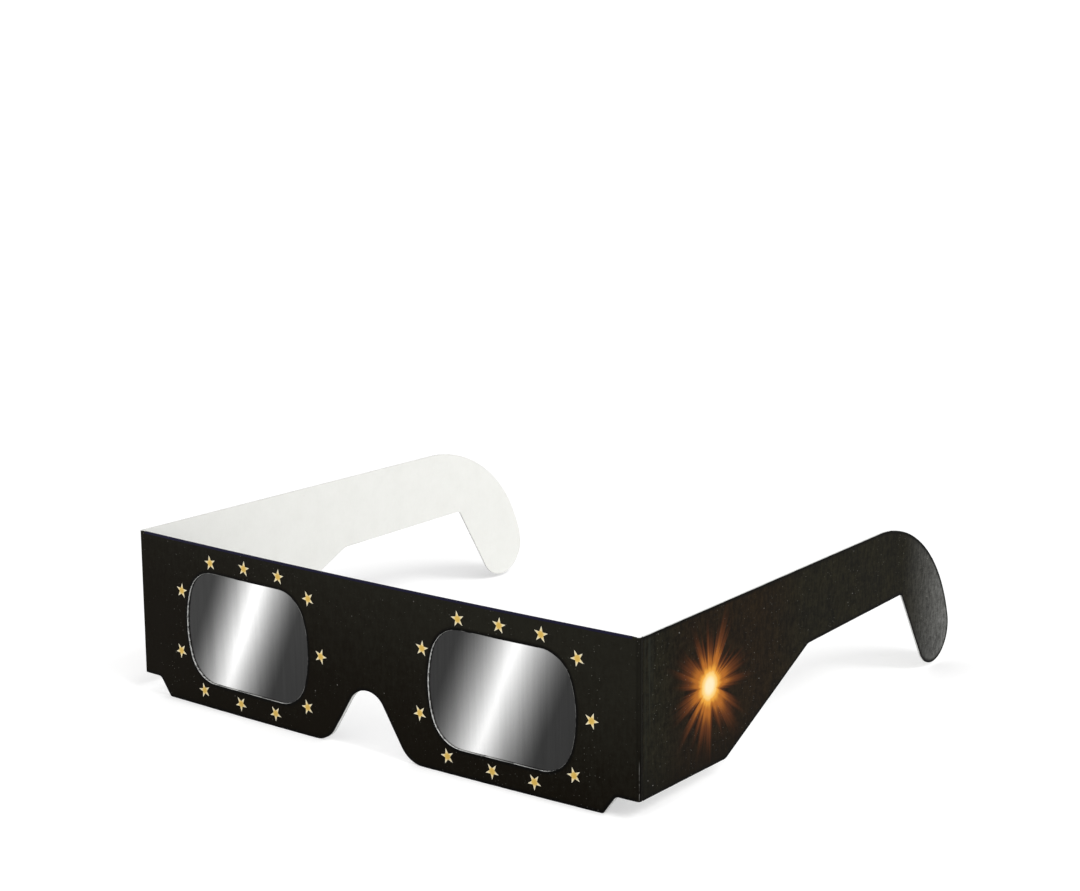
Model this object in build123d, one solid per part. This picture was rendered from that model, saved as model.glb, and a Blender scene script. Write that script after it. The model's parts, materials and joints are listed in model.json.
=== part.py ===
from build123d import *
import os
from math import acos, asin, atan2, cos, degrees, hypot, radians, sin, sqrt, tan

os.makedirs("parts", exist_ok=True)

# Folding card glasses with solar film, for watching an eclipse. Millimetres, +Z up.
# The lenses look along -Y, the temples run back along +Y. Left and right are the wearer's.
# Origin: middle of the footprint, at the height of the two tongues that the front stands on.
# The blank is one sheet of board: front, rear flap folded down behind it at the top edge,
# and two temples folded back at upright creases. The film lies between front and flap.

# Sheet materials
board = 0.40
film = 0.10

# Lens apertures: flat top and bottom, bulging sides
lens_half_width = 19.8
lens_half_height = 13.3
lens_side_bulge = 3.8
lens_corner_radius = 8.2

# Front panel: the board left round the apertures, and its bow towards the viewer
bridge_half_width = 17.8
end_margin = 15.1
top_margin = 6.4
bottom_margin = 6.0
bow_depth = 1.5

# Stepped lower corners beside the creases
step_width = 5.0
step_height = 4.3
step_slope_width = 3.3
tongue_corner_radius = 0.8
step_corner_radius = 1.3

# Nose cut: a round top, straight flanks and flared feet
nose_height = 14.1
nose_radius = 5.6
nose_flank_deg = 32.2
nose_foot_radius = 7.2

# Film and adhesive between the plies
film_lap = 3.0
film_window_clearance = 0.2
adhesive_setback = 0.6

# Creases
fold_clearance = 0.10
crease_clearance = 0.08
flap_end_clearance = 0.30

# Temples: lengths run back from the crease, depths run down from the top edge
deep_length = 32.7
deep_edge_fall = 0.3
slope_length = 35.1
arm_length = 44.4
arm_depth = 18.1
hook_root_depth = 17.2
hook_back_setback = 11.5
hook_back_radius = 37.7
hook_depth = 38.2
hook_tip_radius = 8.0
slope_corner_radius = 3.0
hook_root_radius = 1.4

# Pose as shown, measured from the temple lying in line with the front
left_rest_deg = 93.3
right_rest_deg = 91.0

# Construction
overrun = 5.0

# Places on the front: x from the middle, z from the tongues
lens_centre_x = bridge_half_width + lens_half_width
lens_centre_z = bottom_margin + lens_half_height
front_half_width = lens_centre_x + lens_half_width + end_margin
front_height = lens_centre_z + lens_half_height + top_margin
side_bottom = step_height
step_x = front_half_width - step_width
tongue_end_x = step_x - step_slope_width

# Places on a temple: s back from the crease, z from the tongues
slope_start_s = deep_length
slope_start_z = side_bottom - deep_edge_fall
slope_end_s = slope_start_s + slope_length
slope_end_z = front_height - arm_depth
hook_root_s = slope_end_s + arm_length
hook_root_z = front_height - hook_root_depth
hook_back_centre_s = hook_root_s - hook_back_setback
hook_tip_low_z = front_height - hook_depth

# The bow is part of an upright cylinder; its reference face is the back of the outer ply
bow_radius = (front_half_width**2 + bow_depth**2) / (2 * bow_depth)
bow_centre_y = bow_radius - bow_depth

# The folded top edge takes in both plies and the film gap
stack = 2 * board + film
fold_radius = stack / 2
fold_start_z = front_height - fold_radius

# A temple folded right over lies flat on the flap, so its crease turns about the stack's back half
crease_inner_radius = (board + film) / 2 + fold_clearance
crease_outer_radius = crease_inner_radius + board
crease_axis_y = crease_inner_radius
flap_half_width = front_half_width - crease_outer_radius - flap_end_clearance


def bow_y(x, ahead):
    # Y of the bowed face that lies "ahead" in front of the reference face, at the place x
    return bow_centre_y - sqrt((bow_radius + ahead) ** 2 - x**2)


def bowed_layer(back, ahead, half_width):
    # A bowed sheet of full height between two offsets of the reference face
    edge_back = ThreePointArc(
        (-half_width, bow_y(half_width, back)),
        (0, bow_y(0, back)),
        (half_width, bow_y(half_width, back)),
    )
    edge_ahead = ThreePointArc(
        (-half_width, bow_y(half_width, ahead)),
        (0, bow_y(0, ahead)),
        (half_width, bow_y(half_width, ahead)),
    )
    side_a = Line(edge_back @ 0, edge_ahead @ 0)
    side_b = Line(edge_back @ 1, edge_ahead @ 1)
    section = make_face([edge_back, side_b, edge_ahead, side_a])
    return extrude(section, front_height)


def through(sketch):
    # A cutter or outline that runs through the front from face to face
    return extrude(Plane.XZ * sketch, bow_depth + overrun, both=True)


def round_corners(sketch, points, radius):
    corners = [sketch.vertices().sort_by_distance((x, z))[0] for x, z in points]
    return fillet(corners, radius)


def ply_outline(half_width, ear_x):
    # Tongues, stepped sides and nose cut; beyond ear_x the ply runs up to the full height
    flank = radians(nose_flank_deg)
    touch_x = nose_radius * cos(flank)
    touch_z = nose_height - nose_radius + nose_radius * sin(flank)
    foot_x = touch_x + touch_z * tan(flank)
    half = [
        (touch_x, touch_z),
        (foot_x, 0),
        (tongue_end_x, 0),
        (step_x, side_bottom),
        (half_width, side_bottom),
    ]
    if ear_x < half_width:
        half += [(half_width, front_height), (ear_x, front_height)]
    half += [(min(ear_x, half_width), fold_start_z)]
    other_half = [(-x, z) for x, z in reversed(half)]
    nose = ThreePointArc(other_half[-1], (0, nose_height), half[0])
    face = make_face([Polyline(*half, *other_half), nose])
    both = (-1, 1)
    face = round_corners(face, [(s * foot_x, 0) for s in both], nose_foot_radius)
    face = round_corners(face, [(s * tongue_end_x, 0) for s in both], tongue_corner_radius)
    return round_corners(face, [(s * step_x, side_bottom) for s in both], step_corner_radius)


def lens_outline():
    corner_x = lens_half_width - lens_side_bulge
    top = Line((-corner_x, lens_half_height), (corner_x, lens_half_height))
    side_b = ThreePointArc((corner_x, lens_half_height), (lens_half_width, 0), (corner_x, -lens_half_height))
    bottom = Line((corner_x, -lens_half_height), (-corner_x, -lens_half_height))
    side_a = ThreePointArc((-corner_x, -lens_half_height), (-lens_half_width, 0), (-corner_x, lens_half_height))
    face = make_face([top, side_b, bottom, side_a])
    return fillet(face.vertices(), lens_corner_radius)


def film_outline(extra):
    return Rectangle(
        2 * (lens_half_width + film_lap + extra),
        2 * (lens_half_height + film_lap + extra),
    )


def lens_places(sketch):
    return [Pos(side * lens_centre_x, lens_centre_z) * sketch for side in (-1, 1)]


def ply(back, ahead, half_width, ear_x):
    # One ply of the front with its two lens apertures
    body = bowed_layer(back, ahead, half_width) & through(ply_outline(half_width, ear_x))
    for opening in lens_places(lens_outline()):
        body -= through(opening)
    return body


def make_front_board():
    return ply(0, board, front_half_width, flap_half_width)


def make_rear_board():
    return ply(-film - board, -film, flap_half_width, flap_half_width)


def make_adhesive_layer():
    # The coat that bonds flap to front, kept back from every cut edge, with room for the films
    cover = offset(ply_outline(flap_half_width, flap_half_width), -adhesive_setback)
    body = bowed_layer(-film, 0, flap_half_width) & through(cover)
    for window in lens_places(film_outline(film_window_clearance)):
        body -= through(window)
    return body


def make_film(side):
    place = Pos(side * lens_centre_x, lens_centre_z) * film_outline(0)
    return bowed_layer(-film, 0, flap_half_width) & through(place)


def make_top_fold():
    # Half-round bend of the board along the top edge, over the film gap
    middle_y = bow_y(0, board - fold_radius)
    ring = Circle(fold_radius) - Circle(film / 2)
    ring &= Pos(0, fold_radius) * Rectangle(2 * fold_radius, 2 * fold_radius)
    section = Pos(0, middle_y, fold_start_z) * (Plane.YZ * ring)
    half_turn = degrees(asin(flap_half_width / bow_radius))
    axis = Axis((0, bow_centre_y, 0), (0, 0, 1))
    bent = revolve(section, axis, 2 * half_turn)
    return bent.rotate(axis, -half_turn)


def turned(radius, angle_deg):
    # Point on a crease circle; at angle 0 it lies straight ahead of the crease axis
    return (radius * sin(radians(angle_deg)), -radius * cos(radians(angle_deg)))


def seat(solid, side):
    placed = Pos(front_half_width, crease_axis_y, 0) * solid
    return placed if side > 0 else mirror(placed, about=Plane.YZ)


def make_crease(side, rest_deg):
    # Bent board round the crease axis, with the convex knuckle that the temple turns on
    knuckle_deg = rest_deg + degrees(acos(crease_inner_radius / crease_outer_radius))
    outside = ThreePointArc(
        turned(crease_outer_radius, 0),
        turned(crease_outer_radius, knuckle_deg / 2),
        turned(crease_outer_radius, knuckle_deg),
    )
    inside = ThreePointArc(
        turned(crease_inner_radius, 0),
        turned(crease_inner_radius, rest_deg / 2),
        turned(crease_inner_radius, rest_deg),
    )
    root = Line(outside @ 0, inside @ 0)
    face = make_face([outside, Line(outside @ 1, inside @ 1), inside, root])
    bead = extrude(Pos(0, 0, side_bottom) * face, front_height - side_bottom)
    return seat(bead, side)


def temple_outline():
    back_centre = (hook_back_centre_s, front_height - hook_back_radius)
    tip_centre_z = hook_tip_low_z + hook_tip_radius
    reach = hook_back_radius - hook_tip_radius
    tip_centre_s = back_centre[0] + sqrt(reach**2 - (tip_centre_z - back_centre[1]) ** 2)
    # Where the tip's round runs into the back of the hook
    join_turn = atan2(tip_centre_z - back_centre[1], tip_centre_s - back_centre[0])
    join = (
        back_centre[0] + hook_back_radius * cos(join_turn),
        back_centre[1] + hook_back_radius * sin(join_turn),
    )
    # Where the straight inner edge of the hook touches the tip's round
    gap_s = tip_centre_s - hook_root_s
    gap_z = tip_centre_z - hook_root_z
    gap = hypot(gap_s, gap_z)
    run = sqrt(gap**2 - hook_tip_radius**2)
    heading = atan2(gap_z, gap_s) - asin(hook_tip_radius / gap)
    touch = (hook_root_s + run * cos(heading), hook_root_z + run * sin(heading))
    edges = Polyline(
        (back_centre[0], front_height),
        (0, front_height),
        (0, side_bottom),
        (slope_start_s, slope_start_z),
        (slope_end_s, slope_end_z),
        (hook_root_s, hook_root_z),
        touch,
    )
    tip = ThreePointArc(touch, (tip_centre_s, hook_tip_low_z), join)
    back_turn = (join_turn + radians(90)) / 2
    middle = (
        back_centre[0] + hook_back_radius * cos(back_turn),
        back_centre[1] + hook_back_radius * sin(back_turn),
    )
    back = ThreePointArc(join, middle, (back_centre[0], front_height))
    face = make_face([edges, tip, back])
    bends = [(slope_start_s, slope_start_z), (slope_end_s, slope_end_z)]
    face = round_corners(face, bends, slope_corner_radius)
    return round_corners(face, [(hook_root_s, hook_root_z)], hook_root_radius)


def make_temple(side, rest_deg):
    # Drawn in line with the front about its crease axis, hollowed at the root, then turned back
    flat = extrude(Plane.XZ * temple_outline(), board)
    slab = Pos(0, -crease_inner_radius, 0) * flat
    knuckle = Cylinder(crease_outer_radius + crease_clearance, 2 * (front_height + overrun))
    return seat(Rot(0, 0, rest_deg) * (slab - knuckle), side)


pieces = {
    "front_board": make_front_board(),
    "rear_board": make_rear_board(),
    "top_fold": make_top_fold(),
    "adhesive_layer": make_adhesive_layer(),
    "left_film": make_film(1),
    "right_film": make_film(-1),
    "left_crease": make_crease(1, left_rest_deg),
    "right_crease": make_crease(-1, right_rest_deg),
    "left_temple": make_temple(1, left_rest_deg),
    "right_temple": make_temple(-1, right_rest_deg),
}

# The middle of the footprint from front to back becomes Y = 0
boxes = [piece.bounding_box() for piece in pieces.values()]
foot_front_y = min(box.min.Y for box in boxes)
foot_back_y = max(box.max.Y for box in boxes)
centre_y = (foot_front_y + foot_back_y) / 2

for name, piece in pieces.items():
    placed = Pos(0, -centre_y, 0) * piece
    placed.label = name
    export_step(placed, f"parts/{name}.step")

print("depth", round(foot_back_y - foot_front_y, 3), "shift in Y", round(-centre_y, 4))
print("crease axis X", front_half_width, "Y", round(crease_axis_y - centre_y, 4))
print("tongue Y at lens centre", round(bow_y(lens_centre_x, 0) - centre_y, 4))
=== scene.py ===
"""Folding card eclipse glasses: two-ply black printed front with silver solar film,
navy folded top edge, gold printed stars, and two hooked card temples on upright creases.

Places are in the frame's own metres, and lengths are written in millimetres times MM.
Left and right are the wearer's, and +X is the wearer's left.
"""
import json
import math

import bmesh
import bpy
from mathutils import Matrix, Vector
from mathutils.kdtree import KDTree


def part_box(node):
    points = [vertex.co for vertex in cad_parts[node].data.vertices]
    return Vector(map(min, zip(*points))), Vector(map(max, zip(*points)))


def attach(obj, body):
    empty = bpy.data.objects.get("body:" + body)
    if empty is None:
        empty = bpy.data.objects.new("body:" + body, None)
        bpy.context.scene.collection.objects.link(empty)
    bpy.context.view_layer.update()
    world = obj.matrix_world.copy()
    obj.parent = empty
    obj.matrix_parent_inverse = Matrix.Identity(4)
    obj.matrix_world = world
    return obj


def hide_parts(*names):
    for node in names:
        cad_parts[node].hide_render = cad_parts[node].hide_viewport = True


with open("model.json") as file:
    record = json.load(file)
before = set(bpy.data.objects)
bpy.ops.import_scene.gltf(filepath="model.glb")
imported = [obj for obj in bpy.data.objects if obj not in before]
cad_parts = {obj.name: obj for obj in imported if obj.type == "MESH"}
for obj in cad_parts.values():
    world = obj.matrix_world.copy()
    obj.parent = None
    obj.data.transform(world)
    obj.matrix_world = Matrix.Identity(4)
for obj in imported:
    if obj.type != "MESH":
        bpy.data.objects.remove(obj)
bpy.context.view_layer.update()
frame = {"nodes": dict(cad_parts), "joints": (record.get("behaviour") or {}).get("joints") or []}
NODES = frame["nodes"]

MM = 0.001
SIDES = {"left": 1, "right": -1}
X_AXIS, Z_AXIS = Vector((1, 0, 0)), Vector((0, 0, 1))

# Sheets, and how far a film laps its aperture
BOARD = 0.40 * MM
FILM = 0.10 * MM
FILM_LAP = 3.0 * MM

# Creases and temples: where the folds' joints are, and how far each temple is folded at rest
FOLDS = {joint["name"].removesuffix("_fold"): joint for joint in frame["joints"]}
CREASE_X, CREASE_Y = FOLDS["left"]["pos_m"][:2]
TEMPLE_REST_DEG = {side: -fold["range_deg"][0] for side, fold in FOLDS.items()}
BEND_INNER_RADIUS = 0.35 * MM
BEND_APEX = math.radians(42.0)

# Lens apertures, which lie in the middle of the films
FILM_LOW, FILM_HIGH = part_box("left_film")
LENS_CENTRE_X = (FILM_LOW.x + FILM_HIGH.x) / 2
LENS_CENTRE_Z = (FILM_LOW.z + FILM_HIGH.z) / 2
LENS_HALF_WIDTH = (FILM_HIGH.x - FILM_LOW.x) / 2 - FILM_LAP
LENS_HALF_HEIGHT = (FILM_HIGH.z - FILM_LOW.z) / 2 - FILM_LAP

# The shallow bow of the front: concentric upright cylinders round one far axis
FRONT_LOW, FRONT_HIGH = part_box("front_board")
BOW_DEPTH = 1.5 * MM
FILM_OUTER_RADIUS = (CREASE_X**2 + BOW_DEPTH**2) / (2 * BOW_DEPTH)
FILM_INNER_RADIUS = FILM_OUTER_RADIUS - FILM
FACE_RADIUS = FILM_OUTER_RADIUS + BOARD
BOW_CENTRE_Y = FRONT_LOW.y + FACE_RADIUS
TOP_FOLD_START_Z = FRONT_HIGH.z - 0.5 * MM


def bow_y(x, radius):
    """Y of the bowed layer of this radius, at the place x."""
    return BOW_CENTRE_Y - math.sqrt(radius**2 - x**2)


def bow_outward(point):
    """Direction out of the front's printed face at a point of the bowed front."""
    return Vector((point.x, point.y - BOW_CENTRE_Y, 0.0)).normalized()


def crease_centre(side):
    """A point on the crease's axis, at the floor."""
    return Vector((SIDES[side] * CREASE_X, CREASE_Y, 0.0))


def temple_axes(side):
    """Unit vectors of a temple at rest: along it from its crease, and out of its printed face."""
    turned = math.radians(TEMPLE_REST_DEG[side] - 90.0)
    ahead = Vector((-SIDES[side] * math.sin(turned), math.cos(turned), 0.0))
    outward = Vector((SIDES[side] * math.cos(turned), math.sin(turned), 0.0))
    return ahead, outward


# Node helpers


def feed(tree, target, value):
    """Links a socket to the target, or sets the target to a plain value."""
    if isinstance(value, bpy.types.NodeSocket):
        tree.links.new(value, target)
    else:
        target.default_value = value


def add_node(tree, kind, settings=None, sockets=None):
    """A node with its settings, and its sockets either linked or given a value."""
    made = tree.nodes.new(kind)
    for name, value in (settings or {}).items():
        setattr(made, name, value)
    for name, value in (sockets or {}).items():
        feed(tree, made.inputs[name], value)
    return made


def maths(tree, operation, *values, clamp=False):
    """One sum on numbers."""
    made = add_node(tree, "ShaderNodeMath", {"operation": operation, "use_clamp": clamp})
    for target, value in zip(made.inputs, values):
        feed(tree, target, value)
    return made.outputs[0]


def vectors(tree, operation, *values):
    """One sum on vectors."""
    made = add_node(tree, "ShaderNodeVectorMath", {"operation": operation})
    for target, value in zip(made.inputs, values):
        feed(tree, target, value)
    scalar = operation in ("DOT_PRODUCT", "LENGTH")
    return made.outputs["Value" if scalar else "Vector"]


def scaled(tree, vector, factor):
    """A vector made longer or shorter by a factor."""
    made = add_node(tree, "ShaderNodeVectorMath", {"operation": "SCALE"}, {"Scale": factor})
    tree.links.new(vector, made.inputs[0])
    return made.outputs["Vector"]


def joined(tree, x=0.0, y=0.0, z=0.0):
    """A vector from its three coordinates."""
    return add_node(tree, "ShaderNodeCombineXYZ", None, {"X": x, "Y": y, "Z": z}).outputs[0]


def coordinate(tree, vector, axis):
    """One coordinate of a vector."""
    return add_node(tree, "ShaderNodeSeparateXYZ", None, {"Vector": vector}).outputs[axis]


def in_millimetres(tree, length):
    """A length in metres as a number of millimetres."""
    return maths(tree, "MULTIPLY", length, 1.0 / MM)


def blend_colours(tree, share, low, high):
    """From the low colour to the high one, by a share from 0 to 1."""
    made = add_node(tree, "ShaderNodeMix", {"data_type": "RGBA", "clamp_factor": True})
    inputs = {socket.identifier: socket for socket in made.inputs}
    for identifier, value in (("Factor_Float", share), ("A_Color", low), ("B_Color", high)):
        feed(tree, inputs[identifier], value)
    return next(socket for socket in made.outputs if socket.identifier == "Result_Color")


def step_up(tree, value, low, high, to_low=0.0, to_high=1.0, smooth=True):
    """Ramp of a value, from to_low at low to to_high at high, and level outside them."""
    made = add_node(
        tree,
        "ShaderNodeMapRange",
        {"interpolation_type": "SMOOTHSTEP" if smooth else "LINEAR", "clamp": True},
        {"Value": value, "From Min": low, "From Max": high, "To Min": to_low, "To Max": to_high},
    )
    return made.outputs["Result"]


def noise(tree, vector, scale, detail=2.0, rough=0.5, squeeze=None):
    """Noise on a place in metres; squeeze stretches it along an axis."""
    if squeeze:
        vector = vectors(tree, "MULTIPLY", vector, squeeze)
    made = add_node(
        tree,
        "ShaderNodeTexNoise",
        {"noise_dimensions": "3D"},
        {"Vector": vector, "Scale": scale, "Detail": detail, "Roughness": rough},
    )
    return made.outputs["Fac"]


def centred(tree, value):
    """Noise with its middle moved from a half to nil."""
    return maths(tree, "SUBTRACT", value, 0.5)


def colour_ramp(tree, value, stops):
    """Colours along a value, eased from stop to stop."""
    made = add_node(tree, "ShaderNodeValToRGB", None, {"Fac": value})
    made.color_ramp.interpolation = "EASE"
    line = made.color_ramp.elements
    while len(line) > 1:
        line.remove(line[-1])
    line[0].position, line[0].color = stops[0]
    for position, colour in stops[1:]:
        line.new(position).color = colour
    return made.outputs["Color"]


def attribute(tree, name):
    """A value that the piece's mesh carries at its points."""
    return add_node(tree, "ShaderNodeAttribute", {"attribute_name": name}).outputs["Fac"]


def seen_directly(tree):
    """1 for what the camera, a reflection or a clear body shows, 0 for light on the object."""
    path = tree.nodes.new("ShaderNodeLightPath")
    seen = maths(tree, "MAXIMUM", path.outputs["Is Camera Ray"], path.outputs["Is Glossy Ray"])
    return maths(tree, "MAXIMUM", seen, path.outputs["Is Transmission Ray"])


FLOAT, VECTOR, COLOUR = "NodeSocketFloat", "NodeSocketVector", "NodeSocketColor"


def new_group(name, inputs, outputs):
    """An empty shader node group with named sockets, its input node and its output node."""
    group = bpy.data.node_groups.new(name, "ShaderNodeTree")
    for title, kind, value in inputs:
        made = group.interface.new_socket(name=title, in_out="INPUT", socket_type=kind)
        if value is not None:
            made.default_value = value
    for title, kind in outputs:
        group.interface.new_socket(name=title, in_out="OUTPUT", socket_type=kind)
    return group, group.nodes.new("NodeGroupInput"), group.nodes.new("NodeGroupOutput")


def use_group(tree, group, **sockets):
    """The group in a tree, with its sockets linked or set. A _ stands for a blank in a name."""
    named = {name.replace("_", " "): value for name, value in sockets.items()}
    return add_node(tree, "ShaderNodeGroup", {"node_tree": group}, named)


# Effects that several materials share


def make_board_grain():
    """Grain of coated board: short felted fibres, mostly upright, and soft mottling."""
    group, given, out = new_group(
        "board_grain",
        [("Vector", VECTOR, None), ("Fibre scale", FLOAT, 1.0)],
        [("Height", FLOAT), ("Mottle", FLOAT)],
    )
    place = scaled(group, given.outputs["Vector"], given.outputs["Fibre scale"])
    upright = noise(group, place, 1000.0, detail=4.0, rough=0.7, squeeze=(1.3, 1.3, 0.42))
    lying = noise(group, place, 800.0, detail=4.0, rough=0.7, squeeze=(0.6, 0.6, 1.2))
    fine = noise(group, place, 3400.0, rough=0.6)
    felted = maths(group, "ADD", maths(group, "MULTIPLY", upright, 1.2), maths(group, "MULTIPLY", lying, 0.8))
    height = maths(group, "ADD", felted, maths(group, "MULTIPLY", fine, 0.7))
    broad = noise(group, place, 130.0, detail=4.0, rough=0.65)
    broad_share, felted_share = maths(group, "MULTIPLY", broad, 0.55), maths(group, "MULTIPLY", felted, 0.225)
    group.links.new(height, out.inputs["Height"])
    group.links.new(maths(group, "ADD", broad_share, felted_share), out.inputs["Mottle"])
    return group


def make_pale_specks():
    """Tiny dust and paper specks, few and scattered, each under half a millimetre."""
    group, given, out = new_group(
        "pale_specks",
        [
            ("Vector", VECTOR, None),
            ("Cells per metre", FLOAT, 430.0),
            ("Share", FLOAT, 0.2),
            ("Dot size", FLOAT, 1.0),
        ],
        [("Mask", FLOAT)],
    )
    cells = add_node(
        group,
        "ShaderNodeTexVoronoi",
        {"feature": "F1", "distance": "EUCLIDEAN"},
        {"Vector": given.outputs["Vector"], "Scale": given.outputs["Cells per metre"], "Randomness": 1.0},
    )
    drawn = add_node(group, "ShaderNodeSeparateColor", None, {"Color": cells.outputs["Color"]})
    chosen = maths(group, "LESS_THAN", drawn.outputs[0], given.outputs["Share"])
    reach = maths(group, "MULTIPLY_ADD", drawn.outputs[1], 0.050, 0.022)
    reach = maths(group, "MULTIPLY", reach, given.outputs["Dot size"])
    far = maths(group, "DIVIDE", cells.outputs["Distance"], reach)
    near = maths(group, "SUBTRACT", 1.0, far, clamp=True)
    paleness = maths(group, "MULTIPLY_ADD", drawn.outputs[2], 0.8, 0.4)
    dots = maths(group, "MULTIPLY", near, paleness)
    group.links.new(maths(group, "MULTIPLY", chosen, dots, clamp=True), out.inputs["Mask"])
    return group


def make_cut_wear():
    """Where the print is rubbed off beside a cut or a crease: a broken thin pale line.

    Distance and Width are millimetres."""
    group, given, out = new_group(
        "cut_wear",
        [
            ("Vector", VECTOR, None),
            ("Distance", FLOAT, 1.0),
            ("Width", FLOAT, 0.12),
            ("Amount", FLOAT, 0.5),
        ],
        [("Mask", FLOAT)],
    )
    patch = noise(group, given.outputs["Vector"], 260.0, detail=3.0, rough=0.6)
    grit = noise(group, given.outputs["Vector"], 2600.0, rough=0.6)
    reach = maths(group, "MULTIPLY", given.outputs["Width"], maths(group, "ADD", patch, grit))
    ratio = maths(group, "DIVIDE", given.outputs["Distance"], reach)
    line = maths(group, "SUBTRACT", 1.0, ratio, clamp=True)
    broken = maths(group, "MULTIPLY", line, step_up(group, patch, 0.38, 0.62))
    mask = maths(group, "MULTIPLY", broken, given.outputs["Amount"], clamp=True)
    group.links.new(mask, out.inputs["Mask"])
    return group


def make_sun_motif():
    """A plain glowing sun: bright disc, fine streaks of uneven length, soft amber halo.

    Along and Up are millimetres from the sun's centre on the temple, as the sizes are."""
    group, given, out = new_group(
        "sun_motif",
        [
            ("Along", FLOAT, 0.0),
            ("Up", FLOAT, 0.0),
            ("Disc radius", FLOAT, 2.3),
            ("Glow reach", FLOAT, 3.5),
            ("Streaks", FLOAT, 3.4),
        ],
        [("Colour", COLOUR), ("Mask", FLOAT)],
    )
    flat = joined(group, given.outputs["Along"], given.outputs["Up"])
    reach = vectors(group, "LENGTH", flat)
    past_disc = maths(group, "SUBTRACT", reach, given.outputs["Disc radius"])
    beyond = maths(group, "MAXIMUM", past_disc, 0.0)
    heading = vectors(group, "NORMALIZE", flat)
    streaks = noise(group, heading, given.outputs["Streaks"], detail=3.0, rough=0.62)
    uneven = step_up(group, streaks, 0.32, 0.72, 0.30, 1.75)
    squared = maths(group, "MULTIPLY", beyond, beyond)
    eased = maths(group, "DIVIDE", squared, maths(group, "ADD", beyond, 1.5))
    fall = maths(group, "DIVIDE", eased, maths(group, "MULTIPLY", given.outputs["Glow reach"], uneven))
    rays = maths(group, "EXPONENT", maths(group, "MULTIPLY", fall, -1.0))
    halo = maths(group, "EXPONENT", maths(group, "MULTIPLY", beyond, -0.20))
    rays_share, halo_share = maths(group, "MULTIPLY", rays, 0.80), maths(group, "MULTIPLY", halo, 0.20)
    glow = maths(group, "ADD", rays_share, halo_share, clamp=True)
    core = step_up(group, reach, 0.0, 5.0, 1.0, 0.0)
    level = maths(group, "ADD", maths(group, "MULTIPLY", glow, 0.64), maths(group, "MULTIPLY", core, 0.36))
    group.links.new(colour_ramp(group, level, SUN_TONES), out.inputs["Colour"])
    group.links.new(step_up(group, level, 0.02, 0.20), out.inputs["Mask"])
    return group


# Inks, papers and coats: where two are given, the tone at the low and the high end of a pattern

BLACK_INK = (0.0035, 0.0028, 0.0017, 1)
# The front's two tones, spanned by the print's mottle and by painted light that pales it towards the top and
# the wearer's left
FRONT_INKS_AND_PAINTED_LIGHT = (0.0052, 0.0036, 0.0014, 1), (0.0160, 0.0150, 0.0106, 1)
SUN_GROUND_INKS = (0.0040, 0.0022, 0.0006, 1), (0.0215, 0.0135, 0.0062, 1)
ARM_INKS = (0.0022, 0.0018, 0.0004, 1), (0.0185, 0.0165, 0.0090, 1)
# Pale grey of the hook's scuffs and painted sheen
SCUFF_AND_SHEEN = (0.20, 0.201, 0.193, 1)
# Near-black of the painted shade at the creases, and of the darker rims beside the cuts
SHADE_AND_RIM_BLACK = (0.0012, 0.0011, 0.0009, 1)
THREAD_INK = (0.019, 0.021, 0.016, 1)
NAVY_INK, PALE_NAVY_INK = (0.0062, 0.0056, 0.021, 1), (0.0095, 0.0080, 0.029, 1)
BOARD_WHITES = (0.85, 0.852, 0.818, 1), (0.80, 0.801, 0.765, 1)
CORE_GREY, CORE_WHITE = (0.66, 0.66, 0.64, 1), (0.84, 0.84, 0.82, 1)
# Dark of the painted shade deep in the lens apertures, towards the film
APERTURE_SHADE = (0.16, 0.16, 0.155, 1)
ADHESIVE_TONES = (0.62, 0.61, 0.57, 1), (0.74, 0.73, 0.70, 1)
# Painted reflection of the films, from black to the silver of the bright band
PAINTED_REFLECTION_TONES = (0.0, 0.0, 0.0, 1), (0.97, 0.97, 0.965, 1)

# Dust and specks, and board that shows where the print is rubbed
DUST = (0.36, 0.36, 0.32, 1)
FRONT_SPECK, TEMPLE_SPECK = (0.27, 0.26, 0.24, 1), (0.42, 0.41, 0.38, 1)
NAVY_SPECK, BOARD_SPECK = (0.42, 0.41, 0.40, 1), (0.52, 0.50, 0.44, 1)
RUBBED_BLACK, RUBBED_BOARD = (0.55, 0.55, 0.53, 1), (0.66, 0.66, 0.62, 1)
WORN_CREASE = (0.52, 0.51, 0.48, 1)

SUN_TONES = [
    (0.0, (0.020, 0.008, 0.004, 1)),
    (0.16, (0.10, 0.030, 0.009, 1)),
    (0.38, (0.42, 0.135, 0.020, 1)),
    (0.62, (0.80, 0.36, 0.050, 1)),
    (0.80, (0.92, 0.62, 0.20, 1)),
    (0.96, (0.93, 0.80, 0.52, 1)),
]
# Star ink: ochre in the middle, pale cream in the five arms
STAR_TONES = [
    (0.0, (0.76, 0.475, 0.085, 1)),
    (0.32, (0.80, 0.53, 0.115, 1)),
    (0.52, (0.95, 0.78, 0.42, 1)),
    (0.85, (1.0, 0.92, 0.68, 1)),
]

BOARD_GRAIN = make_board_grain()
PALE_SPECKS = make_pale_specks()
CUT_WEAR = make_cut_wear()
SUN_MOTIF = make_sun_motif()

# The sun's centre on a temple, in millimetres: back from the crease, and up from the tongues
SUN_ALONG, SUN_UP = 26.0, 22.0
# Stretches along a temple, in millimetres back from the crease: where the sun's ground comes in,
# where it goes out, and where the hook's painted sheen comes in
GROUND_IN, GROUND_OUT, HOOK_SHEEN_IN = (6.0, 20.0), (45.0, 70.0), (112.0, 136.5)


# Materials


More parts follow.
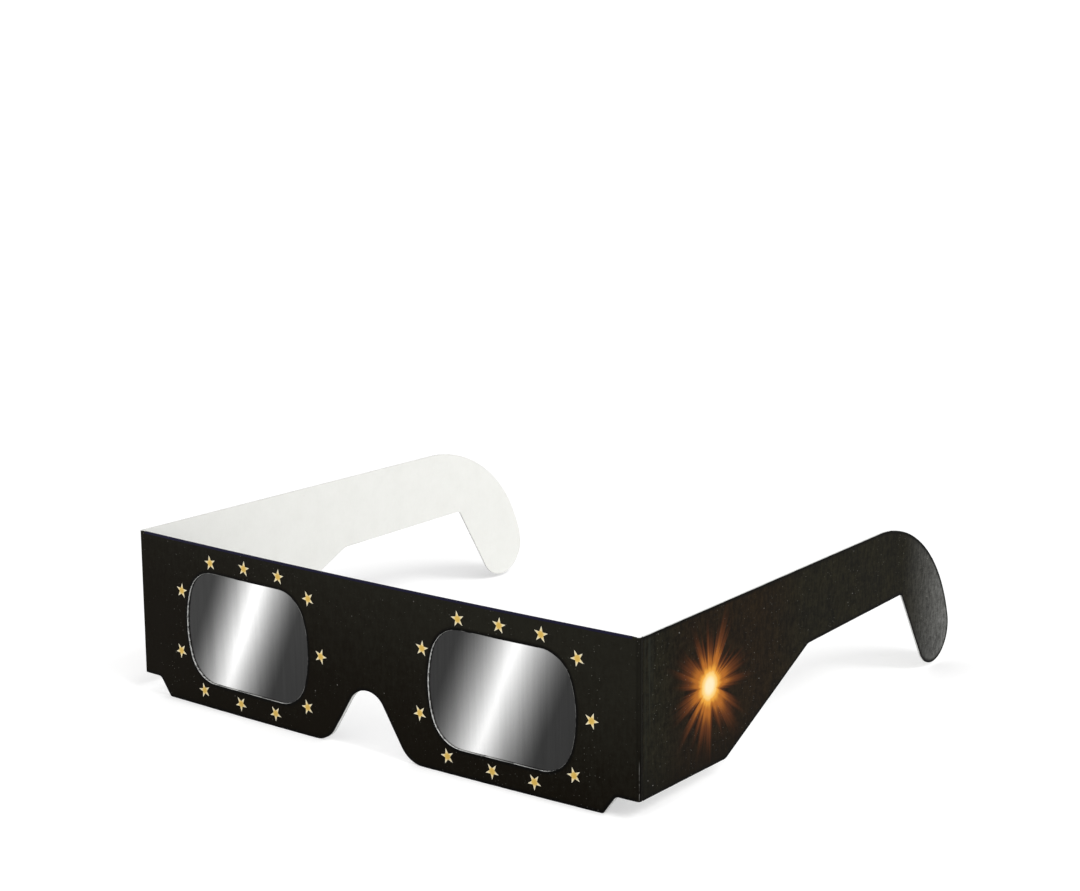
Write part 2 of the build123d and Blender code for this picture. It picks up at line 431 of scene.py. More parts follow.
def start_material(name):
    """An empty material with a Principled shader, and the place that its patterns read."""
    made = bpy.data.materials.new(name)
    made.use_nodes = True
    tree = made.node_tree
    tree.nodes.clear()
    out = tree.nodes.new("ShaderNodeOutputMaterial")
    shader = tree.nodes.new("ShaderNodeBsdfPrincipled")
    tree.links.new(shader.outputs[0], out.inputs["Surface"])
    place = tree.nodes.new("ShaderNodeTexCoord").outputs["Object"]
    return made, tree, shader, place


def set_surface(tree, shader, colour, roughness, specular=None):
    """Colour and roughness from the nodes, and the shader's own specular level."""
    tree.links.new(colour, shader.inputs["Base Color"])
    tree.links.new(roughness, shader.inputs["Roughness"])
    if specular is not None:
        shader.inputs["Specular IOR Level"].default_value = specular


def add_bump(tree, shader, height, strength, distance):
    """Fine relief from a height."""
    sockets = {"Height": height, "Strength": strength, "Distance": distance}
    made = add_node(tree, "ShaderNodeBump", None, sockets)
    tree.links.new(made.outputs["Normal"], shader.inputs["Normal"])


def specks_on(tree, place, **sizes):
    """Mask of scattered pale specks."""
    return use_group(tree, PALE_SPECKS, Vector=place, **sizes).outputs["Mask"]


def rubbed_at_cuts(tree, place, width, amount):
    """Mask of the worn line beside the piece's cut edges, its width in millimetres."""
    distance = attribute(tree, "edge_distance")
    worn = use_group(tree, CUT_WEAR, Vector=place, Distance=distance, Width=width, Amount=amount)
    return worn.outputs["Mask"]


def front_ink(tree, place, cloud):
    """Print of the front, with painted light that makes it paler towards the top and the wearer's left, and
    painted shade at its ends by the creases.
    """
    across = coordinate(tree, place, "X")
    rise = maths(tree, "MULTIPLY_ADD", across, 0.20, coordinate(tree, place, "Z"))
    # Painted light: paler towards the top and the wearer's left
    painted_lift = step_up(tree, rise, 4.0 * MM, 50.0 * MM)
    clouded = maths(tree, "MULTIPLY_ADD", cloud, 0.60, -0.30)
    colour = blend_colours(tree, maths(tree, "ADD", painted_lift, clouded, clamp=True), *FRONT_INKS_AND_PAINTED_LIGHT)
    from_middle = maths(tree, "ABSOLUTE", across)
    # Painted shade at the ends, where the front meets its creases
    end_shade = step_up(tree, from_middle, CREASE_X - 0.3 * MM, CREASE_X + 0.1 * MM, 0.0, 0.35)
    return blend_colours(tree, end_shade, colour, SHADE_AND_RIM_BLACK)


def crease_ink(tree, place, side, cloud):
    """The front's print round the bend, with painted shade in a thin line beside it and a worn line down it.
    """
    colour = front_ink(tree, place, cloud)
    up = coordinate(tree, place, "Z")
    offset = vectors(tree, "SUBTRACT", place, tuple(crease_centre(side)))
    apex = (SIDES[side] * math.cos(BEND_APEX), -math.sin(BEND_APEX), 0.0)
    aside = vectors(tree, "CROSS_PRODUCT", offset, apex)
    beyond_bend = maths(tree, "MULTIPLY", coordinate(tree, aside, "Z"), -SIDES[side] / MM)
    # Painted shade in a thin line beside the bend, weaker higher up
    bend_shade = maths(
        tree,
        "MULTIPLY",
        step_up(tree, beyond_bend, 0.08, 0.20, 0.0, 0.9),
        step_up(tree, beyond_bend, 0.34, 0.50, 1.0, 0.0),
    )
    bend_shade = maths(tree, "MULTIPLY", bend_shade, step_up(tree, up, 9.0 * MM, 20.0 * MM, 1.0, 0.4))
    colour = blend_colours(tree, bend_shade, colour, SHADE_AND_RIM_BLACK)
    from_bend = maths(tree, "ABSOLUTE", beyond_bend)
    lower = step_up(tree, up, 8.0 * MM, 13.5 * MM, 1.0, 0.0)
    worn = use_group(tree, CUT_WEAR, Vector=place, Distance=from_bend, Width=0.12, Amount=lower)
    return blend_colours(tree, worn.outputs["Mask"], colour, WORN_CREASE)


def temple_ink(tree, place, side, cloud, fibres):
    """Print of a temple: the sun on a warm ground, a black arm, a hook with scuffs and a painted sheen, and
    painted shade by the crease.
    """
    ahead, _ = temple_axes(side)
    offset = vectors(tree, "SUBTRACT", place, tuple(crease_centre(side)))
    along = in_millimetres(tree, vectors(tree, "DOT_PRODUCT", offset, tuple(ahead)))
    up = in_millimetres(tree, coordinate(tree, place, "Z"))

    cloud = maths(tree, "MULTIPLY", cloud, step_up(tree, up, 3.0, 13.0, 0.45, 1.0))
    arm = blend_colours(tree, cloud, *ARM_INKS)
    ground = blend_colours(tree, cloud, *SUN_GROUND_INKS)
    to_sun, past_sun = step_up(tree, along, *GROUND_IN), step_up(tree, along, *GROUND_OUT, 1.0, 0.0)
    colour = blend_colours(tree, maths(tree, "MULTIPLY", to_sun, past_sun), arm, ground)
    at_foot = step_up(tree, up, 3.0, 11.0, 0.30, 0.0)
    colour = blend_colours(tree, at_foot, colour, BLACK_INK)

    from_sun = maths(tree, "SUBTRACT", along, SUN_ALONG)
    sun = use_group(tree, SUN_MOTIF, Along=from_sun, Up=maths(tree, "SUBTRACT", up, SUN_UP))
    colour = blend_colours(tree, sun.outputs["Mask"], colour, sun.outputs["Colour"])

    # Painted sheen on the hook, paler towards its end, with scuffed fibres in it
    hook_sheen = maths(tree, "POWER", step_up(tree, along, *HOOK_SHEEN_IN, smooth=False), 1.5)
    combed = maths(tree, "MULTIPLY_ADD", fibres, 0.64, 0.34)
    colour = blend_colours(tree, maths(tree, "MULTIPLY", hook_sheen, combed), colour, SCUFF_AND_SHEEN)

    threads = noise(tree, place, 1500.0, rough=0.6, squeeze=(1.0, 1.0, 0.03))
    from_crease, fading = step_up(tree, along, 0.7, 1.6), step_up(tree, along, 2.8, 5.0, 1.0, 0.0)
    beside = maths(tree, "MULTIPLY", from_crease, fading)
    beside = maths(tree, "MULTIPLY", beside, step_up(tree, up, 8.0, 24.0, 0.3, 1.0))
    drawn = maths(tree, "MULTIPLY", step_up(tree, threads, 0.42, 0.66, 0.0, 0.65), beside)
    colour = blend_colours(tree, drawn, colour, THREAD_INK)
    # Painted shade beside the crease
    return blend_colours(tree, step_up(tree, along, 0.3, 0.8, 0.5, 0.0), colour, SHADE_AND_RIM_BLACK)


def make_black_print(name, part, side=None):
    """Satin black print on board, on the "front", on a "crease" or on a "temple"."""
    made, tree, shader, place = start_material(name)
    grain = use_group(tree, BOARD_GRAIN, Vector=place)
    fibres = step_up(tree, grain.outputs["Height"], 1.05, 1.70)
    cloud = maths(tree, "MULTIPLY", step_up(tree, grain.outputs["Mottle"], 0.38, 0.66), 0.35)
    cloud = maths(tree, "MULTIPLY_ADD", fibres, 0.65, cloud)
    if part == "temple":
        colour = temple_ink(tree, place, side, cloud, fibres)
    elif part == "crease":
        colour = crease_ink(tree, place, side, cloud)
    else:
        colour = front_ink(tree, place, cloud)
    # Darker beside the cut edges
    beside_cut = step_up(tree, attribute(tree, "edge_distance"), 0.2, 1.1, 0.95, 0.0)
    colour = blend_colours(tree, beside_cut, colour, SHADE_AND_RIM_BLACK)
    dust = specks_on(tree, place, Cells_per_metre=1500.0, Share=0.50, Dot_size=2.2)
    colour = blend_colours(tree, dust, colour, DUST)
    specks = specks_on(tree, place, Share=0.45, Dot_size=1.15)
    colour = blend_colours(tree, specks, colour, TEMPLE_SPECK if part == "temple" else FRONT_SPECK)
    colour = blend_colours(tree, rubbed_at_cuts(tree, place, 0.13, 0.55), colour, RUBBED_BLACK)
    rough = step_up(tree, grain.outputs["Mottle"], 0.3, 0.8, 0.52, 0.66)
    set_surface(tree, shader, colour, rough, specular=0.025 if part == "temple" else 0.03)
    add_bump(tree, shader, grain.outputs["Height"], 0.35, 0.03 * MM)
    return made


def make_bare_board(name):
    """Uncoated white inside of the board."""
    made, tree, shader, place = start_material(name)
    grain = use_group(tree, BOARD_GRAIN, Vector=place, Fibre_scale=1.3)
    colour = blend_colours(tree, step_up(tree, grain.outputs["Mottle"], 0.3, 0.8), *BOARD_WHITES)
    colour = blend_colours(tree, specks_on(tree, place, Share=0.05), colour, BOARD_SPECK)
    colour = blend_colours(tree, rubbed_at_cuts(tree, place, 0.35, 0.5), colour, RUBBED_BOARD)
    rough = step_up(tree, grain.outputs["Mottle"], 0.3, 0.8, 0.62, 0.75)
    set_surface(tree, shader, colour, rough, specular=0.3)
    add_bump(tree, shader, grain.outputs["Height"], 0.3, 0.02 * MM)
    return made


def make_cut_edge(name, ink):
    """Die-cut edge: white fibrous core, with the ink's thin skin at the printed side.

    In the apertures the core's back, towards the film, is darkened as painted shade in the recess."""
    made, tree, shader, place = start_material(name)
    layer, aperture = attribute(tree, "ply"), attribute(tree, "aperture")
    fibres = noise(tree, place, 2400.0, detail=3.0, rough=0.6)
    core = blend_colours(tree, step_up(tree, fibres, 0.3, 0.7), CORE_GREY, CORE_WHITE)
    # Painted shade on the aperture walls, towards the film
    recess_shade = maths(tree, "MULTIPLY", aperture, step_up(tree, layer, 0.25, 0.05))
    core = blend_colours(tree, recess_shade, core, APERTURE_SHADE)
    ragged = maths(tree, "MULTIPLY_ADD", fibres, 0.22, 0.68)
    inked = step_up(tree, maths(tree, "SUBTRACT", layer, ragged), -0.05, 0.08)
    inked = maths(tree, "MULTIPLY", inked, maths(tree, "SUBTRACT", 1.0, aperture))
    colour = blend_colours(tree, inked, core, ink)
    set_surface(tree, shader, colour, step_up(tree, fibres, 0.3, 0.7, 0.78, 0.92), specular=0.2)
    add_bump(tree, shader, fibres, 0.5, 0.04 * MM)
    return made


def make_navy_print(name):
    """Satin navy print of the flap and of the folded top edge."""
    made, tree, shader, place = start_material(name)
    grain = use_group(tree, BOARD_GRAIN, Vector=place)
    mottle = step_up(tree, grain.outputs["Mottle"], 0.35, 0.75)
    colour = blend_colours(tree, mottle, NAVY_INK, PALE_NAVY_INK)
    colour = blend_colours(tree, specks_on(tree, place, Share=0.15), colour, NAVY_SPECK)
    colour = blend_colours(tree, rubbed_at_cuts(tree, place, 0.13, 0.5), colour, CORE_WHITE)
    rough = step_up(tree, grain.outputs["Mottle"], 0.3, 0.8, 0.50, 0.64)
    set_surface(tree, shader, colour, rough, specular=0.08)
    add_bump(tree, shader, grain.outputs["Height"], 0.35, 0.03 * MM)
    return made


def make_adhesive(name):
    """Dried coat between the plies: milky, slightly glossy, seen only at the cut edges."""
    made, tree, shader, place = start_material(name)
    cloud = noise(tree, place, 420.0, detail=3.0, rough=0.6)
    colour = blend_colours(tree, cloud, *ADHESIVE_TONES)
    set_surface(tree, shader, colour, step_up(tree, cloud, 0.3, 0.7, 0.30, 0.48))
    return made


def make_silver_film(name, centre_x, band_shift, band_half_width):
    """Metallised film with a painted reflection: a bright slanted band that fades to dark grey at both sides.

    band_shift moves the middle of the band from the lens centre along X, and
    band_half_width is how far from there it fades out, both in millimetres."""
    made, tree, shader, place = start_material(name)
    # Painted reflection: a bright slanted band across the film, dark grey to both sides
    across = in_millimetres(tree, maths(tree, "SUBTRACT", coordinate(tree, place, "X"), centre_x))
    up = in_millimetres(tree, maths(tree, "SUBTRACT", coordinate(tree, place, "Z"), LENS_CENTRE_Z))
    slanted = maths(tree, "ADD", maths(tree, "MULTIPLY_ADD", up, BAND_SLANT, -band_shift), across)
    drawn = noise(tree, place, 300.0, squeeze=(1.0, 1.0, 0.06))
    waver = maths(tree, "MULTIPLY", centred(tree, drawn), BAND_WAVER)
    away = maths(tree, "ADD", slanted, waver)
    soft = maths(tree, "SQRT", maths(tree, "ADD", maths(tree, "MULTIPLY", away, away), BAND_SOFTNESS))
    reflection_nearness = maths(tree, "MULTIPLY_ADD", soft, -1.0 / band_half_width, 1.0)
    reflection_nearness = maths(tree, "POWER", maths(tree, "MAXIMUM", reflection_nearness, 0.0), BAND_FALL)
    tone = maths(tree, "MULTIPLY_ADD", reflection_nearness, REFLECTION_BAND_TONE, SIDE_TONE)
    lines = noise(tree, place, 1500.0, rough=0.6, squeeze=(1.0, 1.0, 0.03))
    tone = maths(tree, "MULTIPLY_ADD", centred(tree, lines), DRAWN_LINES_TONE, tone)
    light = maths(tree, "POWER", maths(tree, "MINIMUM", tone, 1.0), TONE_TO_LIGHT)
    fine = noise(tree, place, 900.0)
    rough = step_up(tree, fine, 0.3, 0.7, 0.16, 0.24)
    set_surface(tree, shader, blend_colours(tree, light, *PAINTED_REFLECTION_TONES), rough)
    shader.inputs["Metallic"].default_value = 1.0
    ripple = noise(tree, place, 60.0, squeeze=(1.0, 1.0, 0.4))
    add_bump(tree, shader, ripple, 0.25, 0.4 * MM)
    return made


def make_gold_ink(name):
    """Star ink, whose tone goes by the share of the way out from the star's middle."""
    made, tree, shader, place = start_material(name)
    mist = noise(tree, place, 1500.0, rough=0.6)
    outwards = attribute(tree, "from_centre")
    spread = maths(tree, "MULTIPLY_ADD", centred(tree, mist), 0.22, outwards)
    rough = step_up(tree, mist, 0.3, 0.7, 0.45, 0.60)
    set_surface(tree, shader, colour_ramp(tree, spread, STAR_TONES), rough, specular=0.3)
    add_bump(tree, shader, mist, 0.2, 0.02 * MM)
    return made


# Pieces of card

# Material slots of a board's faces
PRINTED, BARE, CUT = 0, 1, 2
# How squarely a face looks along a direction to count as facing it: as one of a board's two
# sides, as its plain back even at a fold, as the fold's end, and, on a bend, as its printed side
SQUARE = 0.6
PLAIN_BACK = 0.98
FOLD_END = 0.9
BEND_OUTSIDE = -0.3
# How far the print runs on at a fold line: on the front's ends and on a temple's root
END_RUN = 0.1 * MM
ROOT_RUN = 0.8 * MM

# Points nearer than this are one, edges shorter than this go, and how near a plane counts as on it
WELD, SHORTEST, ON_PLANE = 0.002 * MM, 0.0005 * MM, 0.001 * MM
BOARD_PITCH = 1.0 * MM
EDGE_PITCH = 0.25 * MM
APERTURE_MARGIN = 0.5 * MM
SHARP_DEG = 35.0
# Distance in millimetres that is written where a piece has no cut edge near
NO_CUT_NEAR = {"crease": 5.0, "fold": 2.0}


def in_aperture(point):
    """Whether a point of the front lies within the two lens apertures or on their rims."""
    across, up = abs(abs(point.x) - LENS_CENTRE_X), abs(point.z - LENS_CENTRE_Z)
    return across < LENS_HALF_WIDTH + APERTURE_MARGIN and up < LENS_HALF_HEIGHT + APERTURE_MARGIN


def merged_copy(node):
    """The CAD node's faces as a closed bmesh with its doubles merged."""
    source = NODES[node].data
    mesh = bmesh.new()
    made = [mesh.verts.new(vert.co) for vert in source.vertices]
    for face in source.polygons:
        mesh.faces.new([made[place] for place in face.vertices])
    bmesh.ops.remove_doubles(mesh, verts=mesh.verts[:], dist=WELD)
    bmesh.ops.dissolve_degenerate(mesh, edges=mesh.edges[:], dist=SHORTEST)
    mesh.normal_update()
    return mesh


def every(start, stop, pitch):
    """Places a pitch apart, from half a pitch past start on to stop."""
    count = math.ceil((stop - start) / pitch)
    return [start + (step + 0.5) * pitch for step in range(count)]


def tell_faces_apart(mesh, outward, runs_on):
    """Marks each face as printed, bare or cut; the wall at a fold isn't cut and has print."""
    for face in mesh.faces:
        centre = face.calc_center_median()
        lean = face.normal.dot(outward(centre))
        face.material_index = PRINTED if lean > SQUARE else (BARE if lean < -SQUARE else CUT)
        if lean > -PLAIN_BACK and runs_on(centre):
            face.material_index = PRINTED


def cut_rims(mesh, runs_on):
    """Points along the edges where a cut wall meets a face of the board."""
    points = []
    for edge in mesh.edges:
        walls = [face.material_index == CUT for face in edge.link_faces]
        start, end = (vert.co for vert in edge.verts)
        if sum(walls) != 1 or len(walls) != 2 or runs_on((start + end) / 2):
            continue
        count = max(1, int((end - start).length / EDGE_PITCH))
        points += [start.lerp(end, step / count) for step in range(count + 1)]
    return points


def divide(mesh, cuts):
    """Cuts the mesh by the planes that lie across each direction at its places."""
    for way, places in cuts:
        for where in places:
            bmesh.ops.bisect_plane(
                mesh,
                geom=mesh.verts[:] + mesh.edges[:] + mesh.faces[:],
                dist=ON_PLANE,
                plane_co=way * where,
                plane_no=way,
            )


def card_piece(name, node, body, outward, runs_on, cuts, finishes):
    """A CAD board as a finely divided mesh, with its printed, bare and cut faces told apart.

    outward gives the way out of the printed face at a point, runs_on says where the board
    goes on round a fold and so isn't cut, and cuts are the planes that divide it."""
    mesh = merged_copy(node)
    tell_faces_apart(mesh, outward, runs_on)
    rims = cut_rims(mesh, runs_on)
    divide(mesh, cuts)
    near = KDTree(len(rims))
    for place, point in enumerate(rims):
        near.insert(point, place)
    near.balance()
    distance = mesh.verts.layers.float.new("edge_distance")
    ply = mesh.verts.layers.float.new("ply")
    aperture = mesh.verts.layers.float.new("aperture")
    for vert in mesh.verts:
        on_wall = any(face.material_index == CUT for face in vert.link_faces)
        on_printed = any(
            face.material_index == PRINTED and not runs_on(face.calc_center_median())
            for face in vert.link_faces
        )
        vert[distance] = 0.0 if on_wall else near.find(vert.co)[2] / MM
        vert[ply] = float(on_printed)
        vert[aperture] = float(node.endswith("_board") and in_aperture(vert.co))
    finish_mesh(name, mesh, node, body, finishes)


def finish_mesh(name, mesh, node, body, finishes):
    """The bmesh as an object on its body, in place of the CAD node."""
    for edge in mesh.edges:
        flat = len(edge.link_faces) == 2 and edge.calc_face_angle(0.0) <= math.radians(SHARP_DEG)
        edge.smooth = flat
    for face in mesh.faces:
        face.smooth = True
    data = bpy.data.meshes.new(name)
    mesh.to_mesh(data)
    mesh.free()
    for finish in finishes:
        data.materials.append(finish)
    made = bpy.data.objects.new(name, data)
    bpy.context.scene.collection.objects.link(made)
    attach(made, body)
    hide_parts(node)


def front_pieces():
    """Both plies of the front: black in front, navy behind."""
    cuts = [
        (X_AXIS, every(-CREASE_X, CREASE_X, BOARD_PITCH)),
        (Z_AXIS, every(0.0, FRONT_HIGH.z, BOARD_PITCH)),
    ]
    card_piece(
        "front_card",
        "front_board",
        "front",
        bow_outward,
        lambda point: point.z > TOP_FOLD_START_Z or abs(point.x) > CREASE_X - END_RUN,
        cuts,
        [make_black_print("black_print_front", "front"), WHITE_INSIDE, CUT_BLACK],
    )
    card_piece(
        "rear_card",
        "rear_board",
        "front",
        lambda point: -bow_outward(point),
        lambda point: point.z > TOP_FOLD_START_Z,
        cuts,
        [NAVY_PRINT, WHITE_INSIDE, CUT_NAVY],
    )


def temple_piece(side):
    """A temple, divided across its length and its height."""
    node = f"{side}_temple"
    ahead, outward = temple_axes(side)
    start = crease_centre(side).dot(ahead)
    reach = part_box(node)[1].y - CREASE_Y + 2 * BOARD_PITCH
    card_piece(
        f"{side}_temple_card",
        node,
        node,
        lambda point: outward,
        lambda point: point.dot(ahead) < start + ROOT_RUN,
        [
            (ahead, every(start, start + reach, BOARD_PITCH)),
            (Z_AXIS, every(0.0, FRONT_HIGH.z, BOARD_PITCH)),
        ],
        [make_black_print(f"black_print_{side}_temple", "temple", side), WHITE_INSIDE, CUT_BLACK],
    )


def crease_piece(side):
    """The bent strip of board at a crease, printed outside and bare inside."""
    mesh = merged_copy(f"{side}_crease")
    distance = mesh.verts.layers.float.new("edge_distance")
    ply = mesh.verts.layers.float.new("ply")
    centre = crease_centre(side)
    for face in mesh.faces:
        out = (face.calc_center_median() - centre) * Vector((1, 1, 0))
        looks_out = face.normal.dot(out.normalized()) > BEND_OUTSIDE
        face.material_index = CUT if abs(face.normal.z) > SQUARE else (PRINTED if looks_out else BARE)
    for vert in mesh.verts:
        out = (vert.co - centre) * Vector((1, 1, 0))
        vert[ply] = (out.length - BEND_INNER_RADIUS) / BOARD
        vert[distance] = NO_CUT_NEAR["crease"]
    black = make_black_print(f"black_print_{side}_crease", "crease", side)
    finish_mesh(
        f"{side}_crease_card",
        mesh,
        f"{side}_crease",
        "front",
        [black, WHITE_INSIDE, CUT_BLACK],
    )


def fold_piece():
    """The rounded fold along the whole top edge, navy from crease to crease."""
    mesh = merged_copy("top_fold")
    distance = mesh.verts.layers.float.new("edge_distance")
    ply = mesh.verts.layers.float.new("ply")
    for face in mesh.faces:
        face.material_index = 1 if abs(face.normal.x) > FOLD_END else 0
    for vert in mesh.verts:
        vert[ply] = 0.5
        vert[distance] = NO_CUT_NEAR["fold"]
    finish_mesh("top_fold_card", mesh, "top_fold", "front", [NAVY_PRINT, CUT_NAVY])


def dress_adhesive():
    """The CAD coat of adhesive keeps its shape and gets its finish."""
    coat = NODES["adhesive_layer"]
    coat.data.materials.clear()
    coat.data.materials.append(make_adhesive("dried_adhesive"))


# Films

# The painted reflection on each film, a bright band: how it slants, how far it wavers in millimetres, how
# blunt its middle is and how fast it falls off, and for each side its shift and its half width
BAND_SLANT = -0.44
BAND_WAVER = 1.2
BAND_SOFTNESS = 0.5
BAND_FALL = 1.25
BAND_SHIFT = {"left": -1.15, "right": -1.40}
BAND_HALF_WIDTH = {"left": 15.7, "right": 14.7}
# Tones of a film's painted reflection as the eye sees them, and the power that turns a tone into reflected
# light
SIDE_TONE, REFLECTION_BAND_TONE, DRAWN_LINES_TONE = 0.222, 0.76, 0.045
TONE_TO_LIGHT = 2.25
FILM_COLUMNS, FILM_ROWS = 96, 68


def film_layer(mesh, low, high, radius):
    """Rows of points on one bowed face of a film."""
    return [
        [
            mesh.verts.new((x, bow_y(x, radius), low.z + (high.z - low.z) * row / FILM_ROWS))
            for x in (low.x + (high.x - low.x) * column / FILM_COLUMNS for column in range(FILM_COLUMNS + 1))
        ]
        for row in range(FILM_ROWS + 1)
    ]


def film_piece(side):
    """A finely divided laminated film between the plies, on the bow of the front."""
    low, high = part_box(f"{side}_film")
    mesh = bmesh.new()
    outer = film_layer(mesh, low, high, FILM_OUTER_RADIUS)
    inner = film_layer(mesh, low, high, FILM_INNER_RADIUS)
    for row in range(FILM_ROWS):
        for column in range(FILM_COLUMNS):
            places = [(row, column), (row, column + 1), (row + 1, column + 1), (row + 1, column)]
            mesh.faces.new([outer[r][c] for r, c in places])
            mesh.faces.new([inner[r][c] for r, c in reversed(places)])
    border = (
        [(0, column) for column in range(FILM_COLUMNS)]
        + [(row, FILM_COLUMNS) for row in range(FILM_ROWS)]
        + [(FILM_ROWS, column) for column in range(FILM_COLUMNS, 0, -1)]
        + [(row, 0) for row in range(FILM_ROWS, 0, -1)]
    )
    for (row, column), (next_row, next_column) in zip(border, border[1:] + border[:1]):
        wall = [outer[row][column], inner[row][column]]
        wall += [inner[next_row][next_column], outer[next_row][next_column]]
        mesh.faces.new(wall)
    bmesh.ops.recalc_face_normals(mesh, faces=mesh.faces[:])
    silver = make_silver_film(
        f"silver_film_{side}", SIDES[side] * LENS_CENTRE_X, BAND_SHIFT[side], BAND_HALF_WIDTH[side]
    )
    finish_mesh(f"{side}_silver_film", mesh, f"{side}_film", "front", [silver])


# Printed stars

# Eleven stars round each lens: place from the lens centre in millimetres, turn in degrees
STARS_ROUND_LENS = [
    (-11.2, 15.8, 10),
    (0.0, 16.3, -5),
    (11.0, 16.3, -5),
    (-21.3, 7.5, -6),
    (20.3, 12.8, 25),
    (-22.2, -7.2, 32),
    (23.8, 0.1, -18),
    (-14.6, -15.4, 15),
    (-2.3, -16.2, 37),
    (9.0, -16.2, 37),
    (19.3, -12.6, 17),
]
STAR_POINTS = 5
# The turn that sets a star's first arm upright
STAR_UPRIGHT_DEG = 18.0
# How deep the ink's back lies in the board, so that no gap shows under it
INK_SUNK = 0.004 * MM
# Points of the ink nearer than this are one
INK_WELD = 0.001 * MM
STAR_SIZES = {
    "Outer radius": 1.84 * MM,
    "Notch share": 0.375,
    "Ink thickness": 0.02 * MM,
    "Bow radius": FACE_RADIUS,
}


def one_star(tree, given):
    """A thin closed star, with each point's share of the way out from its middle."""
    corners = {"Vertices": 2 * STAR_POINTS, "Radius": 1.0}
    disc = add_node(tree, "GeometryNodeMeshCircle", {"fill_type": "TRIANGLE_FAN"}, corners)
    odd = maths(tree, "MODULO", tree.nodes.new("GeometryNodeInputIndex").outputs[0], 2.0)
    notch = maths(tree, "SUBTRACT", given.outputs["Notch share"], 1.0)
    place = tree.nodes.new("GeometryNodeInputPosition").outputs[0]
    notched = scaled(tree, place, maths(tree, "MULTIPLY_ADD", odd, notch, 1.0))
    shape = {"Geometry": disc.outputs["Mesh"], "Position": notched}
    star = add_node(tree, "GeometryNodeSetPosition", None, shape)
    marked = add_node(
        tree,
        "GeometryNodeStoreNamedAttribute",
        {"data_type": "FLOAT", "domain": "POINT"},
        {"Geometry": star.outputs[0], "Name": "from_centre", "Value": vectors(tree, "LENGTH", place)},
    )
    radius = given.outputs["Outer radius"]
    size = joined(tree, radius, radius, 1.0)
    sized = add_node(tree, "GeometryNodeTransform", None, {"Geometry": marked.outputs[0], "Scale": size})
    raised = add_node(
        tree,
        "GeometryNodeExtrudeMesh",
        {"mode": "FACES"},
        {"Mesh": sized.outputs[0], "Offset Scale": given.outputs["Ink thickness"], "Individual": False},
    )
    under = add_node(tree, "GeometryNodeFlipFaces", None, {"Mesh": sized.outputs[0]})
    both = tree.nodes.new("GeometryNodeJoinGeometry")
    tree.links.new(raised.outputs["Mesh"], both.inputs[0])
    tree.links.new(under.outputs[0], both.inputs[0])
    sockets = {"Geometry": both.outputs[0], "Distance": INK_WELD}
    return add_node(tree, "GeometryNodeMergeByDistance", None, sockets).outputs[0]


def star_tree():
    """Geometry nodes: a printed five-pointed star at each point, turned by its attribute."""
    tree = bpy.data.node_groups.new("printed_stars", "GeometryNodeTree")
    face = tree.interface
    face.new_socket(name="Geometry", in_out="INPUT", socket_type="NodeSocketGeometry")
    for title, value in STAR_SIZES.items():
        face.new_socket(name=title, in_out="INPUT", socket_type=FLOAT).default_value = value
    face.new_socket(name="Ink", in_out="INPUT", socket_type="NodeSocketMaterial")
    face.new_socket(name="Geometry", in_out="OUTPUT", socket_type="NodeSocketGeometry")
    given, out = tree.nodes.new("NodeGroupInput"), tree.nodes.new("NodeGroupOutput")

    spot = tree.nodes.new("GeometryNodeInputPosition").outputs[0]
    round_bow = maths(tree, "DIVIDE", coordinate(tree, spot, "X"), given.outputs["Bow radius"])
    stance = joined(tree, x=math.pi / 2, z=maths(tree, "ARCSINE", round_bow))
    scattered = add_node(
        tree,
        "GeometryNodeInstanceOnPoints",
        None,
        {"Points": given.outputs["Geometry"], "Instance": one_star(tree, given), "Rotation": stance},
    )
    turn = add_node(tree, "GeometryNodeInputNamedAttribute", {"data_type": "FLOAT"}, {"Name": "turn"})
    about = joined(tree, z=turn.outputs["Attribute"])
    turned = add_node(
        tree,
        "GeometryNodeRotateInstances",
        None,
        {"Instances": scattered.outputs[0], "Rotation": about, "Local Space": True},
    )
    real = add_node(tree, "GeometryNodeRealizeInstances", None, {"Geometry": turned.outputs[0]})
    sockets = {"Geometry": real.outputs[0], "Material": given.outputs["Ink"]}
    inked = add_node(tree, "GeometryNodeSetMaterial", None, sockets)
    tree.links.new(inked.outputs[0], out.inputs[0])
    return tree


def star_places():
    """Where the stars lie on the bowed front, and each one's turn in radians."""
    points, turns = [], []
    for centre_x in (-LENS_CENTRE_X, LENS_CENTRE_X):
        for along, up, turn in STARS_ROUND_LENS:
            x = centre_x + along * MM
            points.append((x, bow_y(x, FACE_RADIUS) + INK_SUNK, LENS_CENTRE_Z + up * MM))
            turns.append(math.radians(turn + STAR_UPRIGHT_DEG))
    return points, turns


def star_piece():
    """All the stars as one plain mesh on the front."""
    points, turns = star_places()
    data = bpy.data.meshes.new("star_places")
    data.from_pydata(points, [], [])
    data.attributes.new("turn", "FLOAT", "POINT").data.foreach_set("value", turns)
    maker = bpy.data.objects.new("star_places", data)
    bpy.context.scene.collection.objects.link(maker)
    tree = star_tree()
    modifier = maker.modifiers.new("printed_stars", "NODES")
    modifier.node_group = tree
    sockets = {item.name: item.identifier for item in tree.interface.items_tree if item.in_out == "INPUT"}
    modifier[sockets["Ink"]] = make_gold_ink("gold_star_ink")
    for title, value in STAR_SIZES.items():
        modifier[sockets[title]] = value
    bpy.context.view_layer.update()
    evaluated = maker.evaluated_get(bpy.context.evaluated_depsgraph_get())
    solid = bpy.data.meshes.new_from_object(evaluated)
    maker.modifiers.clear()
    bpy.data.objects.remove(maker)
    solid.name = "printed_stars"
    made = bpy.data.objects.new("printed_stars", solid)
    bpy.context.scene.collection.objects.link(made)
    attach(made, "front")


# Floor, light, camera

